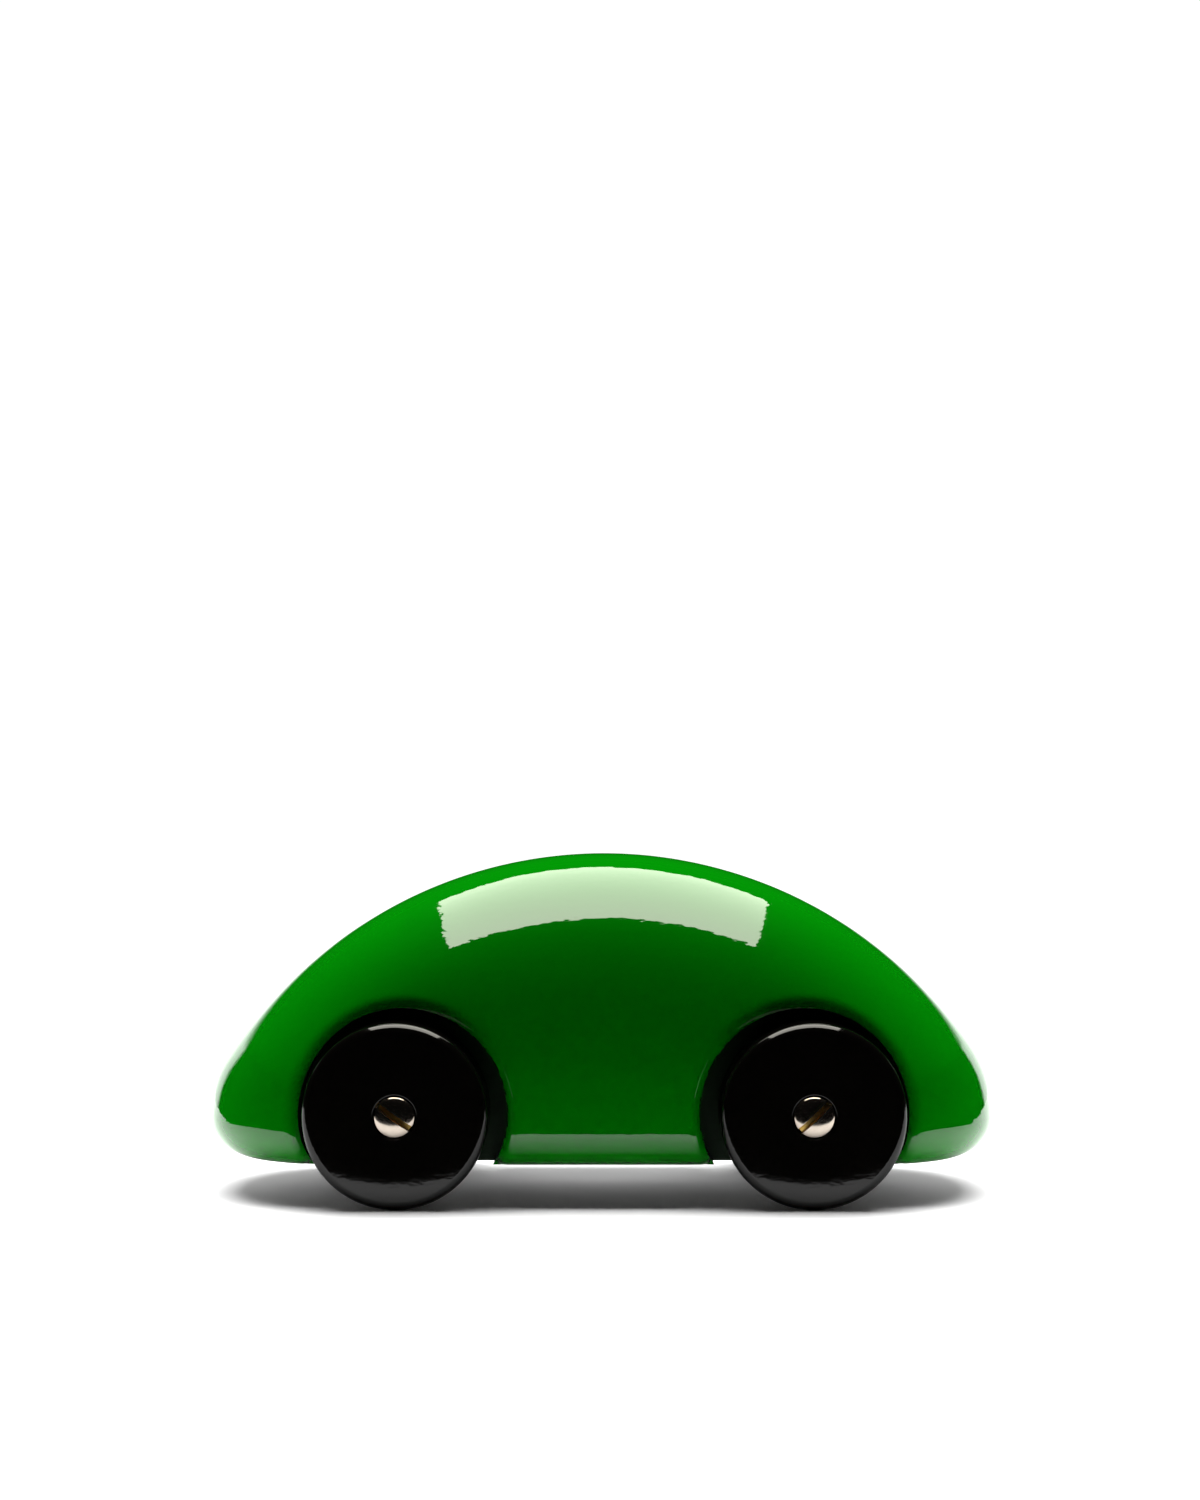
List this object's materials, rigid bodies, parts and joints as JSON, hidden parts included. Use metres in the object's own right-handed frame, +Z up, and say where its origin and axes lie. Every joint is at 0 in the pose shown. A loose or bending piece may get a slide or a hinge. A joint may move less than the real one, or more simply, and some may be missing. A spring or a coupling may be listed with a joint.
{
  "type": "pull back car",
  "caption": "Streamlined lacquered wooden toy car with disc wheels held by slotted screws, driven by a pull-back spring motor on its rear axle.",
  "frame": {"origin": "on the ground, under the middle of the body", "axes": "+X towards the front of the car, +Y to its left, +Z up"},
  "size_m": [0.17, 0.0746, 0.0725],
  "materials": {
    "body_lacquer": "glossy green lacquer over wood",
    "wheel_lacquer": "glossy black lacquer over wood",
    "wheel_screw_nickel": "nickel plated brass, polished",
    "bush_brass": "turned brass",
    "axle_steel": "ground steel",
    "spring_steel": "rolled spring steel",
    "small_screw": "zinc plated steel",
    "spacer_nylon": "natural nylon",
    "cover_plastic": "black moulded plastic, fine texture",
    "motor_plastic": "grey moulded plastic",
    "barrel_plastic": "dark moulded plastic",
    "gear_plastic": "white acetal"
  },
  "bodies": {
    "car": {"body": "body_lacquer", "bottom_cover": "cover_plastic", "cover_screws": "small_screw", "front_bush_right": "bush_brass", "front_bush_left": "bush_brass", "motor_bearing_right": "bush_brass", "motor_bearing_left": "bush_brass", "motor_case": "motor_plastic", "motor_lid": "motor_plastic", "motor_case_screws": "small_screw", "motor_mount_screws": "small_screw", "drive_pin": "axle_steel", "spring_barrel": "barrel_plastic"},
    "rear_wheelset": {"drive_axle": "axle_steel", "axle_gears": "gear_plastic", "wheel_rear_right": "wheel_lacquer", "wheel_screw_rear_right": "wheel_screw_nickel", "rear_sleeve_right": "spacer_nylon", "wheel_rear_left": "wheel_lacquer", "wheel_screw_rear_left": "wheel_screw_nickel", "rear_sleeve_left": "spacer_nylon"},
    "front_wheelset": {"front_axle": "axle_steel", "wheel_front_right": "wheel_lacquer", "wheel_screw_front_right": "wheel_screw_nickel", "front_washer_right": "spacer_nylon", "wheel_front_left": "wheel_lacquer", "wheel_screw_front_left": "wheel_screw_nickel", "front_washer_left": "spacer_nylon"},
    "drive_train": {"drive_gear": "gear_plastic", "drive_pinion": "gear_plastic"},
    "spring_shaft": {"spring_arbor": "axle_steel", "spring_gear": "gear_plastic", "winding_gear": "gear_plastic", "mainspring": "spring_steel"},
    "winding_slider": {"winding_pin": "axle_steel"},
    "winding_input": {"winding_input_idler": "gear_plastic"},
    "winding_output": {"winding_output_idler": "gear_plastic"}
  },
  "joints": [
    {"name": "rear_axle_spin", "type": "hinge", "parent": "car", "child": "rear_wheelset", "pos_m": [-0.0426, 0, 0.01925], "axis": [0, 1, 0], "continuous": true},
    {"name": "front_axle_spin", "type": "hinge", "parent": "car", "child": "front_wheelset", "pos_m": [0.0438, 0, 0.01925], "axis": [0, 1, 0], "continuous": true},
    {"name": "drive_train_spin", "type": "hinge", "parent": "car", "child": "drive_train", "pos_m": [-0.0364, 0, 0.03291], "axis": [0, 1, 0], "continuous": true},
    {"name": "spring_shaft_spin", "type": "hinge", "parent": "car", "child": "spring_shaft", "pos_m": [-0.02352, 0, 0.02523], "axis": [0, 1, 0], "continuous": true},
    {"name": "winding_input_spin", "type": "hinge", "parent": "car", "child": "winding_input", "pos_m": [-0.03169, 0, 0.01787], "axis": [0, 1, 0], "continuous": true},
    {"name": "winding_clutch_slide", "type": "slide", "parent": "car", "child": "winding_slider", "axis": [0, 1, 0], "range_m": [-0.001, 0]},
    {"name": "winding_output_spin", "type": "hinge", "parent": "winding_slider", "child": "winding_output", "pos_m": [-0.03169, 0, 0.01787], "axis": [0, 1, 0], "continuous": true}
  ],
  "couplings": [
    {"joint": "drive_train_spin", "follows": "rear_axle_spin", "ratio": -0.66667},
    {"joint": "spring_shaft_spin", "follows": "rear_axle_spin", "ratio": 0.16667},
    {"joint": "winding_input_spin", "follows": "rear_axle_spin", "ratio": -1.2},
    {"joint": "winding_output_spin", "follows": "rear_axle_spin", "ratio": -0.2}
  ]
}
